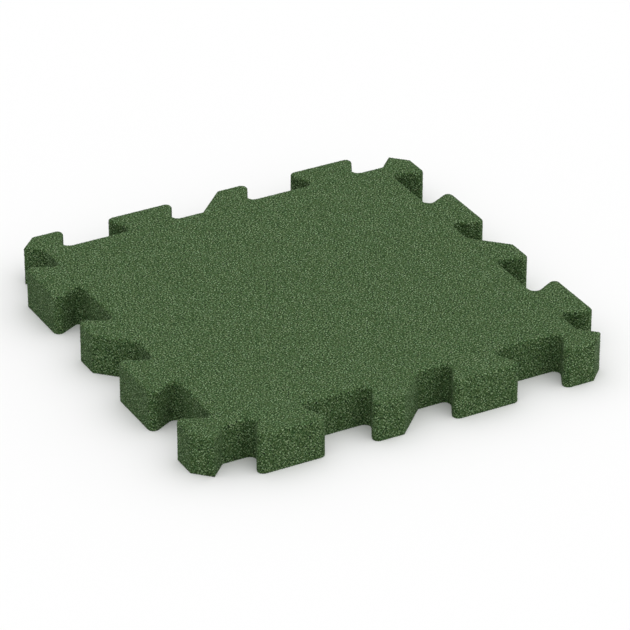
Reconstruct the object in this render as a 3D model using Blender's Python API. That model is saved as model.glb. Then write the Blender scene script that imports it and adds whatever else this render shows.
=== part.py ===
# Interlocking rubber safety tile, moulded in one piece from bonded rubber granulate.
# Metres, +Z up. The origin is the middle of the underside, and the tile lies flat on z = 0.
#
# Every side carries the same row of teeth and notches. A side's row is point-symmetric about
# the side's middle, so any side of one tile locks into any side of the next at the tile pitch.
# The plan is square with four-fold turning symmetry and no mirror symmetry.

import math

import bmesh
import bpy
from mathutils import Vector

TILE_PITCH = 0.500           # laid tiles repeat at this spacing along X and along Y
THICKNESS = 0.050
TOOTH_DEPTH = 0.0405         # from the floor of a notch to the tip of a tooth
FLANK_MIDDLES = (0.052, 0.125, 0.198)    # leaning flanks at half depth, from the side's middle
FLANK_LEAN = math.radians(28)            # undercut of a leaning flank, from square to the side
TOOTH_CORNER_RADIUS = 0.0075  # plan radius where a leaning flank meets a tip or a notch floor
TOP_EDGE_RADIUS = 0.003       # round along the whole top edge; the bottom edge is sharp
JOINT_CLEARANCE = 0.0003      # each tile's share of the gap between two laid tiles

SIDE_COUNT = 4
CORNER_ARC_SEGMENTS = 5
TOP_EDGE_SEGMENTS = 4
SMOOTH_BELOW = math.radians(40)   # walls meeting at more than this stay sharp in the shading

GRANULATE_GREEN = (0.074, 0.121, 0.054, 1.0)
GRANULATE_ROUGHNESS = 0.92


def clear_scene():
    for scene_object in list(bpy.data.objects):
        bpy.data.objects.remove(scene_object, do_unlink=True)


def granulate_material():
    material = bpy.data.materials.new("bonded_rubber_granulate")
    material.use_nodes = True
    shader = material.node_tree.nodes["Principled BSDF"]
    shader.inputs["Base Color"].default_value = GRANULATE_GREEN
    shader.inputs["Roughness"].default_value = GRANULATE_ROUGHNESS
    shader.inputs["Metallic"].default_value = 0.0
    material.diffuse_color = GRANULATE_GREEN
    return material


def side_corners():
    """Corners (along, out, radius) of one side's row, from its first tile corner.

    along runs from one tile corner to the next with 0 at the side's middle, and out is the
    distance outside the nominal square. The straight 45 degree flanks at the tile corner and
    at the side's middle keep sharp corners, so their radius is 0.
    """
    inner, middle, outer = FLANK_MIDDLES
    depth = TOOTH_DEPTH / 2
    lean = depth * math.tan(FLANK_LEAN)
    radius = TOOTH_CORNER_RADIUS
    first_half = [
        (-TILE_PITCH / 2 + depth, -depth, 0.0),
        (-outer + lean, -depth, radius),
        (-outer - lean, depth, radius),
        (-middle + lean, depth, radius),
        (-middle - lean, -depth, radius),
        (-inner + lean, -depth, radius),
        (-inner - lean, depth, radius),
        (-depth, depth, 0.0),
    ]
    second_half = [(-along, -out, r) for along, out, r in reversed(first_half)]
    return [(-TILE_PITCH / 2, 0.0, 0.0)] + first_half + second_half


def plan_corners():
    """All corners (point, radius) of the nominal plan, anticlockwise from above."""
    corners = []
    for side in range(SIDE_COUNT):
        turn = side * math.tau / SIDE_COUNT
        along_axis = Vector((math.cos(turn), math.sin(turn)))
        out_axis = Vector((math.sin(turn), -math.cos(turn)))
        for along, out, radius in side_corners():
            point = along * along_axis + (TILE_PITCH / 2 + out) * out_axis
            corners.append((point, radius))
    return corners


def rounded_corner(before, corner, after, radius):
    """The points that replace one corner: it is drawn in by the clearance, then rounded."""
    run_in = (corner - before).normalized()
    run_out = (after - corner).normalized()
    normal_in = Vector((run_in.y, -run_in.x))
    normal_out = Vector((run_out.y, -run_out.x))
    turn = math.atan2(run_in.cross(run_out), run_in.dot(run_out))
    mitre = (normal_in + normal_out) / (1 + normal_in.dot(normal_out))
    drawn_in = corner - JOINT_CLEARANCE * mitre
    if radius == 0:
        return [drawn_in]
    # An outer corner loses the clearance from its radius and an inner one gains it, so that
    # the gap to the next tile is even around the rounds too.
    bend = math.copysign(1, turn)
    radius -= bend * JOINT_CLEARANCE
    centre = drawn_in - run_in * radius * math.tan(abs(turn) / 2) - bend * radius * normal_in
    start = math.atan2(*(bend * normal_in).yx)
    angles = [start + turn * step / CORNER_ARC_SEGMENTS for step in range(CORNER_ARC_SEGMENTS + 1)]
    return [centre + radius * Vector((math.cos(a), math.sin(a))) for a in angles]


def plan_outline():
    corners = plan_corners()
    outline = []
    for index, (corner, radius) in enumerate(corners):
        before = corners[index - 1][0]
        after = corners[(index + 1) % len(corners)][0]
        outline += rounded_corner(before, corner, after, radius)
    return outline


def build_tile():
    """The plan outline as a face, extruded to the thickness, with its top edge rounded."""
    shape = bmesh.new()
    underside = shape.faces.new([shape.verts.new((x, y, 0.0)) for x, y in plan_outline()])
    extruded = bmesh.ops.extrude_face_region(shape, geom=[underside], use_keep_orig=True)
    top_verts = [item for item in extruded["geom"] if isinstance(item, bmesh.types.BMVert)]
    bmesh.ops.translate(shape, verts=top_verts, vec=(0, 0, THICKNESS))
    bmesh.ops.recalc_face_normals(shape, faces=shape.faces)
    top_edges = [e for e in shape.edges if all(v.co.z > THICKNESS / 2 for v in e.verts)]
    bmesh.ops.bevel(
        shape,
        geom=top_edges,
        offset=TOP_EDGE_RADIUS,
        segments=TOP_EDGE_SEGMENTS,
        profile=0.5,
        affect="EDGES",
        clamp_overlap=False,
    )
    mesh = bpy.data.meshes.new("tile")
    shape.to_mesh(mesh)
    shape.free()
    mesh.shade_smooth()
    mesh.set_sharp_from_angle(angle=SMOOTH_BELOW)
    mesh.materials.append(granulate_material())
    tile = bpy.data.objects.new("tile", mesh)
    bpy.context.scene.collection.objects.link(tile)
    return tile


clear_scene()
build_tile()
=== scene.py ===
import math

import bpy
import numpy as np
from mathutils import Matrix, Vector
from mathutils.geometry import delaunay_2d_cdt


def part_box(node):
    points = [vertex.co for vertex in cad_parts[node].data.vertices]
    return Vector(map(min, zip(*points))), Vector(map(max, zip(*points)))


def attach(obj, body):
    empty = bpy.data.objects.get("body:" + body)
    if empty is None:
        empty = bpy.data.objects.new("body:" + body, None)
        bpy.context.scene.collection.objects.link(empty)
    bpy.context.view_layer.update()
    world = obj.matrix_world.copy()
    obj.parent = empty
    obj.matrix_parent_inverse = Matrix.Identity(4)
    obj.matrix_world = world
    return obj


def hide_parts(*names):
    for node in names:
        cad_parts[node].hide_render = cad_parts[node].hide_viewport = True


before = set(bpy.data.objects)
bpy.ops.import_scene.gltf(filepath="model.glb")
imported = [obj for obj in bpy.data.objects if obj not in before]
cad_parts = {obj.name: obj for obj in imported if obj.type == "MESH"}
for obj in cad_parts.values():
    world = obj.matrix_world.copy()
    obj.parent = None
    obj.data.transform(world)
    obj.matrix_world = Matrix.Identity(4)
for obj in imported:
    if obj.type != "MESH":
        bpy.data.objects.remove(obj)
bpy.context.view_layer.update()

tileLow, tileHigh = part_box("tile")
print("frame loaded, tile", [round(v, 4) for v in tileHigh - tileLow])


# Camera: a long lens that looks down on one corner of the tile.
shot = {
    "lens": 228.4,                     # mm
    "sensorWidth": 36.0,               # mm
    "distance": 4.736,                 # m from the point looked at
    "azimuth": -28.39,                 # degrees round from the front
    "elevation": 29.50,                # degrees above the floor
    "target": (0.0206, 0.0179, 0.0),
    "clip": (0.1, 60.0),               # m, the nearest and the furthest that it sees
}


def makeCamera():
    azimuth, elevation = math.radians(shot["azimuth"]), math.radians(shot["elevation"])
    back = Vector((
        math.sin(azimuth) * math.cos(elevation),
        -math.cos(azimuth) * math.cos(elevation),
        math.sin(elevation),
    ))
    cameraData = bpy.data.cameras.new("camera")
    cameraData.lens = shot["lens"]
    cameraData.sensor_width = shot["sensorWidth"]
    cameraData.clip_start, cameraData.clip_end = shot["clip"]
    camera = bpy.data.objects.new("camera", cameraData)
    camera.location = Vector(shot["target"]) + back * shot["distance"]
    camera.rotation_mode = "QUATERNION"
    camera.rotation_quaternion = (-back).to_track_quat("-Z", "Y")
    bpy.context.scene.collection.objects.link(camera)
    bpy.context.scene.camera = camera


makeCamera()
print("camera placed")


# The moulded plan, as the frame's solid has it, in metres and degrees.
plan = {
    "pitch": 0.500,
    "toothDepth": 0.0405,
    "flankMiddles": (0.052, 0.125, 0.198),   # leaning flanks at half depth, from the side's middle
    "flankLean": 28.0,
    "cornerRadius": 0.0075,
    "topEdgeRadius": 0.003,
    "jointClearance": 0.0003,
    "arcSegments": 6,
}


def sideCorners():
    # One side's corners as rows of (along, out, radius): the first half is written down, and
    # the second half is the first turned half round about the side's middle.
    inner, middle, outer = plan["flankMiddles"]
    depth = plan["toothDepth"] / 2
    lean = depth * math.tan(math.radians(plan["flankLean"]))
    rounded = plan["cornerRadius"]
    firstHalf = np.array([
        (-plan["pitch"] / 2 + depth, -depth, 0),
        (-outer + lean, -depth, rounded),
        (-outer - lean, depth, rounded),
        (-middle + lean, depth, rounded),
        (-middle - lean, -depth, rounded),
        (-inner + lean, -depth, rounded),
        (-inner - lean, depth, rounded),
        (-depth, depth, 0),
    ])
    secondHalf = firstHalf[::-1] * (-1, -1, 1)
    return np.vstack([(-plan["pitch"] / 2, 0, 0), firstHalf, secondHalf])


def planOutline():
    # Points and mitres of the closed plan, anticlockwise: a point minus its mitre times a
    # distance lies on the outline drawn in by that distance. A sharp corner's mitre is the sum
    # of its two outward normals over one plus their dot product. A round corner is an arc about
    # a centre set back along both its edges, and its mitres are the arc's outward normals.
    side = sideCorners()
    turns = np.arange(4)[:, None] * math.tau / 4
    reach = plan["pitch"] / 2 + side[:, 1]
    corners = np.stack([
        side[:, 0] * np.cos(turns) + reach * np.sin(turns),
        side[:, 0] * np.sin(turns) - reach * np.cos(turns),
    ], axis=-1).reshape(-1, 2)
    radius = np.tile(side[:, 2], 4)[:, None]
    runOut = np.roll(corners, -1, axis=0) - corners
    runOut /= np.linalg.norm(runOut, axis=1, keepdims=True)
    runIn = np.roll(runOut, 1, axis=0)
    normalIn, normalOut = (np.stack([run[:, 1], -run[:, 0]], axis=1) for run in (runIn, runOut))
    cross = runIn[:, 0] * runOut[:, 1] - runIn[:, 1] * runOut[:, 0]
    turn = np.arctan2(cross, (runIn * runOut).sum(axis=1))[:, None]
    bend = np.sign(turn)
    mitre = (normalIn + normalOut) / (1 + (normalIn * normalOut).sum(axis=1, keepdims=True))
    centre = corners - runIn * radius * np.tan(abs(turn) / 2) - bend * radius * normalIn
    start = np.arctan2(bend[:, 0] * normalIn[:, 1], bend[:, 0] * normalIn[:, 0])[:, None]
    angle = start + turn * np.linspace(0, 1, plan["arcSegments"] + 1)
    spoke = np.stack([np.cos(angle), np.sin(angle)], axis=-1)
    isRound = radius[:, :, None] > 0
    points = np.where(isRound, centre[:, None] + radius[:, :, None] * spoke, corners[:, None])
    mitres = np.where(isRound, bend[:, :, None] * spoke, mitre[:, None])
    kept = (radius > 0) | (np.arange(plan["arcSegments"] + 1) == 0)
    points, mitres = points[kept], mitres[kept]
    return points - plan["jointClearance"] * mitres, mitres


# Granules: the rubber crumbs that the tile is pressed from, as relief on a triangular net.
# Every third point of the net is a crumb's top, and the others are the low places between.
crumbs = {
    "netStep": 0.00101,        # m between the net's points: crumbs are 1.75 mm apart
    "jitter": 0.24,            # of a step, how far a point strays along the surface
    "crumbHeight": 0.00030,    # m, mean height of the tops above the moulded face
    "crumbSpread": 0.00013,    # m, standard deviation of that height
    "gapDepth": 0.00022,       # m, mean depth of the low places
    "gapSpread": 0.00010,
    "mostRelief": 0.00075,     # m, no point strays further from the moulded face
    "edgeRoom": 0.6,           # of a step, from the top edge's round to the first inner point
    "seed": 11,
}
rowStep = crumbs["netStep"] * math.sqrt(3) / 2
chance = np.random.default_rng(crumbs["seed"])


def netClass(column, row):
    # 0, 1 or 2, different at the three points of every triangle of a net whose odd rows are
    # shifted by half a step: the column less one and a half times the row, the half rounded
    # down, and what is left over after division by three. Class 0 is a crumb's top.
    return (column - (row - row % 2) // 2 - row) % 3


def reliefAt(kind):
    # Heights above the moulded face: tops stand proud and the rest is sunk, each with its own
    # share of chance, held within the greatest relief.
    swing = chance.normal(size=kind.shape)
    top = crumbs["crumbHeight"] + crumbs["crumbSpread"] * swing
    gap = -crumbs["gapDepth"] + crumbs["gapSpread"] * swing
    return np.clip(np.where(kind == 0, top, gap), -crumbs["mostRelief"], crumbs["mostRelief"])


def alongOutline(points, mitres, places):
    # The outline's point and mitre at each place, which is a share of the way round it, read
    # off the straight lines between the outline's points.
    closed = np.vstack([points, points[:1]])
    closedMitres = np.vstack([mitres, mitres[:1]])
    way = np.concatenate([[0], np.cumsum(np.linalg.norm(np.diff(closed, axis=0), axis=1))])
    at = (places % 1) * way[-1]
    spot = np.stack([np.interp(at, way, closed[:, axis]) for axis in (0, 1)], axis=-1)
    lean = np.stack([np.interp(at, way, closedMitres[:, axis]) for axis in (0, 1)], axis=-1)
    return spot, lean, way[-1]


def wallNet(points, mitres):
    # The side walls and the round of the top edge: a profile carried round the outline. Up the
    # profile the wall is upright, and the last quarter circle leans it in onto the top face.
    roundEdge, thickness = plan["topEdgeRadius"], tileHigh.z
    upright = thickness - roundEdge
    rows = round((upright + roundEdge * math.tau / 4) / rowStep)
    girth = alongOutline(points, mitres, np.zeros(1))[2]
    sides, classes = 4, 3                                  # each side has whole runs of the classes
    columns = sides * classes * round(girth / crumbs["netStep"] / (sides * classes))
    row, column = np.meshgrid(np.arange(rows + 1), np.arange(columns), indexing="ij")
    kind = netClass(column, row)
    strayAlong, strayUp = chance.uniform(-crumbs["jitter"], crumbs["jitter"], (2, *kind.shape))
    strayUp[[0, -1]] = 0                                   # the foot and the top seam stay level
    places = (column + 0.5 * (row % 2) + strayAlong) / columns
    climb = (row + strayUp) / rows * (upright + roundEdge * math.tau / 4)
    bow = np.clip((climb - upright) / roundEdge, 0, math.tau / 4)
    drawnIn = roundEdge * (1 - np.cos(bow))
    height = np.minimum(climb, upright) + roundEdge * np.sin(bow)
    relief = reliefAt(kind)
    spot, lean, _ = alongOutline(points, mitres, places)
    outward = (drawnIn - relief * np.cos(bow))[..., None]
    up = np.stack([height + relief * np.sin(bow), relief], axis=-1)
    net = np.concatenate([spot - outward * lean, up], axis=-1)
    net[0, :, 2] = 0
    return net


def wallFaces(rows, columns):
    # Two triangles a cell, with the diagonal on the side that the odd rows' shift asks for.
    row, column = np.meshgrid(np.arange(rows), np.arange(columns), indexing="ij")
    here, there = row * columns + column, row * columns + (column + 1) % columns
    above, aboveThere = here + columns, there + columns
    shifted = (row % 2 == 1)[..., None]
    evenRow = [(here, there, above), (there, aboveThere, above)]
    oddRow = [(here, aboveThere, above), (here, there, aboveThere)]
    pairs = [
        np.where(shifted, np.stack(odd, axis=-1), np.stack(even, axis=-1))
        for odd, even in zip(oddRow, evenRow)
    ]
    return np.stack(pairs, axis=2).reshape(-1, 3), np.repeat(column.ravel(), 2)


def insideOf(ring, spots):
    # Even-odd rule: a spot is inside if a ray along X crosses the ring an odd number of times.
    # It goes through the spots in 40 lots, which keeps the arrays small.
    startX, startY = ring.T
    endX, endY = np.roll(ring, -1, axis=0).T
    inside = np.zeros(len(spots), bool)
    for chunk in np.array_split(np.arange(len(spots)), 40):
        x, y = spots[chunk, 0, None], spots[chunk, 1, None]
        spans = (startY > y) != (endY > y)
        with np.errstate(divide="ignore", invalid="ignore"):
            crossing = startX + (y - startY) * (endX - startX) / (endY - startY)
        inside[chunk] = (spans & (x < crossing)).sum(axis=1) % 2 == 1
    return inside


def fillRing(ring, spots):
    # Triangles over the inside of a closed ring with these spots in it, by Blender's own
    # Delaunay triangulation. The ring's points come first in the numbering, then the spots.
    insideOnly, sameSpot = 1, 1e-7     # which triangles are wanted, and m between separate points
    flat = [Vector(spot) for spot in np.vstack([ring, spots]).tolist()]
    ringEdge = [list(range(len(ring)))]
    _, _, faces, origins, _, _ = delaunay_2d_cdt(flat, [], ringEdge, insideOnly, sameSpot)
    first = np.array([found[0] for found in origins])
    return first[np.array(faces)]


def topNet(points, mitres, seam):
    # The flat walking face: the net's points inside the top edge, tied to the wall's last row.
    clearOf = plan["topEdgeRadius"] + crumbs["edgeRoom"] * crumbs["netStep"]
    half = plan["pitch"] / 2 + plan["toothDepth"]
    row, column = np.meshgrid(
        np.arange(-int(half / rowStep), int(half / rowStep)),
        np.arange(-int(half / crumbs["netStep"]), int(half / crumbs["netStep"])),
        indexing="ij",
    )
    spots = np.stack([(column + 0.5 * (row % 2)) * crumbs["netStep"], row * rowStep], axis=-1)
    spots = spots.reshape(-1, 2)
    inside = insideOf(points - clearOf * mitres, spots)
    spots, kind = spots[inside], netClass(column, row).ravel()[inside]
    faces = fillRing(seam[:, :2], spots)
    spots = spots + chance.uniform(-crumbs["jitter"], crumbs["jitter"], spots.shape) * crumbs["netStep"]
    relief = reliefAt(kind)
    return np.column_stack([spots, tileHigh.z + relief, relief]), faces


def facingUp(net, faces, up):
    # The faces with any that face the wrong way turned round.
    a, b, c = (net[faces[:, corner], :2] for corner in range(3))
    turned = ((b - a)[:, 0] * (c - a)[:, 1] - (b - a)[:, 1] * (c - a)[:, 0] > 0) != up
    return np.where(turned[:, None], faces[:, ::-1], faces)


def toLinear(colour, lighter=0, darkest=0):
    # An sRGB hex colour as linear light. First all its channels gain so many steps of 255, and
    # keep at least the darkest share of what they were.
    mean = np.array([int(colour[n:n + 2], 16) for n in (0, 2, 4)])
    shares = np.clip(np.maximum(mean + lighter, darkest * mean) / 255, 0, 1)
    linear = np.where(shares > 0.04045, ((shares + 0.055) / 1.055) ** 2.4, shares / 12.92)
    return (*linear.tolist(), 1.0)


def addNode(tree, kind, settings=(), links=()):
    # One node: settings go to its sockets by name, or else to its properties, and links are
    # (its input, other node, other's output).
    node = tree.nodes.new(kind)
    for name, value in dict(settings).items():
        if name in node.inputs:
            node.inputs[name].default_value = value
        else:
            setattr(node, name, value)
    for name, other, output in links:
        tree.links.new(other.outputs[output], node.inputs[name])
    return node


# Bonded rubber granulate: recycled tyre rubber crumbs, each coated in green polyurethane binder
# and pressed in a heated mould. The coat dries matt and a little different on every crumb, so
# that the eye sees a fine salt and pepper. Painted shade darkens the gaps between the crumbs and
# the small crumbs' rims, and painted light lightens the highest crumbs.
granulate = {
    "colour": "395329",       # the mean crumb
    "toneStep": 32,           # what one standard deviation of tone adds to all its channels
    "toneReach": 2.5,         # standard deviations from the mean crumb to the lightest one
    "toneStops": 11,          # colours from the darkest crumb to the lightest
    "darkest": 0.25,          # of the mean crumb, the least that a crumb can have
    "grainSize": 0.0014,      # m, small crumbs between the modelled ones, as coarse as they need to show
    "mixingReach": 0.0016,    # m, how far off the neighbours are that a small crumb stands out from
    "ringPlaces": 6,          # how many of them lie level with it
    "paintedReliefShadeShare": 0.20,      # painted shade and light: of the tone's range, from the darkened deepest gap to the lightened highest crumb
    "paintedRimShadeShare": 0.22,         # painted shade: how much darker a small crumb is drawn at its rim than at its middle
    "rim": (0.25, 0.85),      # of the grain size, where that painted shade starts and ends
    "hueSpread": 0.018,       # how far a crumb's hue may lie from the mean, of the whole circle
    "grainBump": 0.00030,     # m, how far the small crumbs bulge
    "roughness": (0.96, 0.74),  # the darkest and the lightest crumb
    "ior": 1.50,              # polyurethane
    "specularLevel": 0.30,    # pores swallow part of the gloss
}


def granulateMaterial():
    material = bpy.data.materials.new("green_bonded_rubber_granulate")
    material.use_nodes = True
    tree = material.node_tree
    shader = tree.nodes["Principled BSDF"]
    place = addNode(tree, "ShaderNodeTexCoord")
    grain = addNode(tree, "ShaderNodeTexVoronoi", {"Scale": 1 / granulate["grainSize"]},
                    [("Vector", place, "Object")])
    chances = addNode(tree, "ShaderNodeSeparateColor", {}, [("Color", grain, "Color")])
    # Light and dark crumbs lie well mixed: a small crumb's tone is its own chance less the mean
    # chance at places round it, in a level ring and above and below, taken off one by one.
    ring = np.arange(granulate["ringPlaces"]) * math.tau / granulate["ringPlaces"]
    level = np.stack([np.cos(ring), np.sin(ring), np.zeros_like(ring)], axis=1)
    directions = np.vstack([level, (0, 0, 1), (0, 0, -1)])
    mixed, output = chances, "Red"
    for direction in directions:
        beside = addNode(tree, "ShaderNodeVectorMath", {"operation": "ADD"}, [(0, place, "Object")])
        beside.inputs[1].default_value = (granulate["mixingReach"] * direction).tolist()
        neighbour = addNode(tree, "ShaderNodeTexVoronoi", {"Scale": 1 / granulate["grainSize"]},
                            [("Vector", beside, "Vector")])
        others = addNode(tree, "ShaderNodeSeparateColor", {}, [("Color", neighbour, "Color")])
        mixed = addNode(tree, "ShaderNodeMath", {"operation": "MULTIPLY_ADD"},
                        [(0, others, "Red"), (2, mixed, output)])
        mixed.inputs[1].default_value = -1 / len(directions)
        output = "Value"
    # Painted light and shade: the modelled crumbs' height, from -1 to 1, moves the tone off its
    # middle, lighter on the high tops and darker in the low gaps, and painted shade makes a small
    # crumb's rim darker than its middle.
    height = addNode(tree, "ShaderNodeAttribute", {"attribute_name": "crumbHeight"})
    paintedReliefShade = addNode(tree, "ShaderNodeMapRange", {
        "From Min": -1.0,
        "To Min": 0.5 - granulate["paintedReliefShadeShare"] / 2,
        "To Max": 0.5 + granulate["paintedReliefShadeShare"] / 2,
    }, [("Value", height, "Fac")])
    # Painted shade: each small crumb darkens from its middle towards its rim, as a rounded crumb would
    # in shade.
    paintedRimShade = addNode(tree, "ShaderNodeMapRange", {
        "interpolation_type": "SMOOTHSTEP",
        "From Min": granulate["rim"][0],
        "From Max": granulate["rim"][1],
        "To Min": granulate["paintedRimShadeShare"] / 2,
        "To Max": -granulate["paintedRimShadeShare"] / 2,
    }, [("Value", grain, "Distance")])
    # Both painted marks together, the relief's painted light and shade and the rims' painted shade,
    # added below to the random tone.
    shape = addNode(tree, "ShaderNodeMath", {"operation": "ADD"},
                    [(0, paintedReliefShade, "Result"), (1, paintedRimShade, "Result")])
    tone = addNode(tree, "ShaderNodeMath", {"operation": "ADD", "use_clamp": True},
                   [(0, mixed, "Value"), (1, shape, "Value")])
    # Even chances become a bell curve: each stop stands at a normal distribution's share.
    ramp = addNode(tree, "ShaderNodeValToRGB", {}, [("Fac", tone, "Value")])
    stops = ramp.color_ramp.elements
    while len(stops) < granulate["toneStops"]:
        stops.new(0.5)
    reach = granulate["toneReach"]
    for stop, deviation in zip(stops, np.linspace(-reach, reach, granulate["toneStops"])):
        stop.position = 0.5 + 0.5 * math.erf(deviation / math.sqrt(2)) / math.erf(reach / math.sqrt(2))
        stop.color = toLinear(
            granulate["colour"], granulate["toneStep"] * deviation, granulate["darkest"]
        )
    hue = addNode(tree, "ShaderNodeMapRange", {
        "To Min": 0.5 - granulate["hueSpread"],
        "To Max": 0.5 + granulate["hueSpread"],
    }, [("Value", chances, "Green")])
    tinted = addNode(tree, "ShaderNodeHueSaturation", {},
                     [("Hue", hue, "Result"), ("Color", ramp, "Color")])
    bump = addNode(tree, "ShaderNodeBump", {"Distance": granulate["grainBump"], "invert": True},
                   [("Height", grain, "Distance")])
    sheen = addNode(tree, "ShaderNodeMapRange", {
        "To Min": granulate["roughness"][0],
        "To Max": granulate["roughness"][1],
    }, [("Value", tone, "Value")])
    tree.links.new(tinted.outputs["Color"], shader.inputs["Base Color"])
    tree.links.new(sheen.outputs["Result"], shader.inputs["Roughness"])
    tree.links.new(bump.outputs["Normal"], shader.inputs["Normal"])
    shader.inputs["IOR"].default_value = granulate["ior"]
    shader.inputs["Specular IOR Level"].default_value = granulate["specularLevel"]
    return material


# Flat maps: the margins left at the ends and along the edges of a strip, as shares of its size.
margins = {
    "ends": 0.01,
    "edges": 0.04,
}


def foldedMap(faceSpots, folds):
    # A flat map of a long strip: faceSpots is (along, across) of every face's corners, each
    # from 0 to 1. The strip is cut into so many lengths, and the lengths lie beside each other.
    fold = np.minimum(np.floor(faceSpots[..., 0].mean(axis=1, keepdims=True) * folds), folds - 1)
    along = faceSpots[..., 0] * folds - fold
    along = margins["ends"] + (1 - 2 * margins["ends"]) * along
    across = margins["edges"] + (1 - 2 * margins["edges"]) * faceSpots[..., 1]
    return np.stack([along, (fold + across) / folds], axis=-1)


def makePiece(name, net, faces, flatMap, material):
    # A net's rows are x, y, z and the relief there, which the material reads as a share of the
    # greatest relief, for painted light on the crumbs' tops and painted shade in the gaps.
    used, faces = np.unique(faces, return_inverse=True)
    faces = faces.reshape(-1, 3)
    mesh = bpy.data.meshes.new(name)
    mesh.vertices.add(len(used))
    mesh.vertices.foreach_set("co", net[used, :3].astype(np.float32).ravel())
    mesh.loops.add(faces.size)
    mesh.loops.foreach_set("vertex_index", faces.astype(np.int32).ravel())
    mesh.polygons.add(len(faces))
    mesh.polygons.foreach_set("loop_start", np.arange(0, faces.size, 3, dtype=np.int32))
    mesh.update(calc_edges=True)
    heights = mesh.attributes.new("crumbHeight", "FLOAT", "POINT")
    heights.data.foreach_set("value", (net[used, 3] / crumbs["mostRelief"]).astype(np.float32))
    mesh.uv_layers.new(name="OFBake").uv.foreach_set("vector", flatMap.astype(np.float32).ravel())
    mesh.materials.append(material)
    piece = bpy.data.objects.new(name, mesh)
    bpy.context.scene.collection.objects.link(piece)
    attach(piece, "root")
    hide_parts("tile")
    print("piece", name, len(faces), "triangles")
    return piece


# The hidden underside is flat, as the mould's floor leaves it.
underside = {
    "gridReach": 0.264,       # m from the middle to the last point of its grid
    "gridStep": 0.012,        # m
    "edgeRoom": 0.004,        # m from the foot of the walls to the first inner point
}


def makeTile():
    points, mitres = planOutline()
    walls = wallNet(points, mitres)
    rows, columns = walls.shape[0] - 1, walls.shape[1]
    faces, faceColumns = wallFaces(rows, columns)
    net = walls.reshape(-1, 4)
    rubber = granulateMaterial()
    for side, name in enumerate(("front", "right", "back", "left")):
        mine = faceColumns // (columns // 4) == side
        corners = faces[mine]
        along = (corners % columns - faceColumns[mine, None] + columns // 2) % columns - columns // 2
        along = (along + faceColumns[mine, None]) / (columns // 4) - side
        flatMap = foldedMap(np.stack([along, corners // columns / rows], axis=-1), 4)
        makePiece("side_" + name, net, corners, flatMap, rubber)

    top, faces = topNet(points, mitres, walls[-1])
    net = np.vstack([walls[-1], top])
    faces = facingUp(net, faces, True)
    length = np.ptp(net[:, :2], axis=0)[0]
    strips = ("front", "middle_front", "middle_back", "back")
    place = net[:, :2] / length + 0.5
    strip = np.clip((place[faces, 1].mean(axis=1) * len(strips)).astype(int), 0, len(strips) - 1)
    for number, name in enumerate(strips):
        mine = strip == number
        spots = place[faces[mine]]
        flatMap = foldedMap(np.stack([spots[..., 0], spots[..., 1] * len(strips) - number], axis=-1), 2)
        makePiece("walking_face_" + name, net, faces[mine], flatMap, rubber)

    foot = walls[0]
    steps = round(underside["gridReach"] / underside["gridStep"])
    grid = np.arange(-steps, steps + 1) * underside["gridStep"]
    spots = np.stack(np.meshgrid(grid, grid), axis=-1).reshape(-1, 2)
    spots = spots[insideOf(points - underside["edgeRoom"] * mitres, spots)]
    net = np.pad(np.vstack([foot[:, :2], spots]), ((0, 0), (0, 2)))
    faces = facingUp(net, fillRing(foot[:, :2], spots), False)
    makePiece("underside", net, faces, net[faces, :2] / length + 0.5, rubber)


makeTile()


# Plain pale floor, and a soft white studio round it.
studio = {
    "floorSize": 12.0,       # m
    "floorDrop": 0.0002,     # m below the tile's foot
    "floorColour": "F7F7F7",
    "skyHorizon": 0.334,     # the sky's brightness at its rim
    "skySlope": (0.18, -0.15, 1.11),   # and what it gains towards +X, +Y and straight up
}


def makeStudio():
    half = studio["floorSize"] / 2
    corners = np.array([(-half, -half), (half, -half), (half, half), (-half, half)])
    mesh = bpy.data.meshes.new("floor")
    corners = np.column_stack([corners, np.full(4, -studio["floorDrop"])])
    mesh.from_pydata(corners.tolist(), [], [(0, 1, 2, 3)])
    floorMaterial = bpy.data.materials.new("white_studio_paper")
    floorMaterial.use_nodes = True
    shader = floorMaterial.node_tree.nodes["Principled BSDF"]
    shader.inputs["Base Color"].default_value = toLinear(studio["floorColour"])
    shader.inputs["Roughness"].default_value = 1.0
    shader.inputs["Specular IOR Level"].default_value = 0.0
    mesh.materials.append(floorMaterial)
    floor = bpy.data.objects.new("floor", mesh)
    bpy.context.scene.collection.objects.link(floor)
    world = bpy.data.worlds.new("soft_white_studio")
    world.use_nodes = True
    tree = world.node_tree
    sky = tree.nodes["Background"]
    direction = addNode(tree, "ShaderNodeTexCoord")
    gain = addNode(tree, "ShaderNodeVectorMath", {"operation": "DOT_PRODUCT"},
                   [(0, direction, "Generated")])
    gain.inputs[1].default_value = studio["skySlope"]
    brightness = addNode(tree, "ShaderNodeMath", {"operation": "ADD"}, [(0, gain, "Value")])
    brightness.inputs[1].default_value = studio["skyHorizon"]
    aboveZero = addNode(tree, "ShaderNodeMath", {"operation": "MAXIMUM"}, [(0, brightness, "Value")])
    aboveZero.inputs[1].default_value = 0.0
    tree.links.new(aboveZero.outputs["Value"], sky.inputs["Strength"])
    sky.inputs["Color"].default_value = (1.0, 1.0, 1.0, 1.0)
    bpy.context.scene.world = world
    bpy.context.scene.view_settings.view_transform = "Standard"


makeStudio()
print("studio lit")
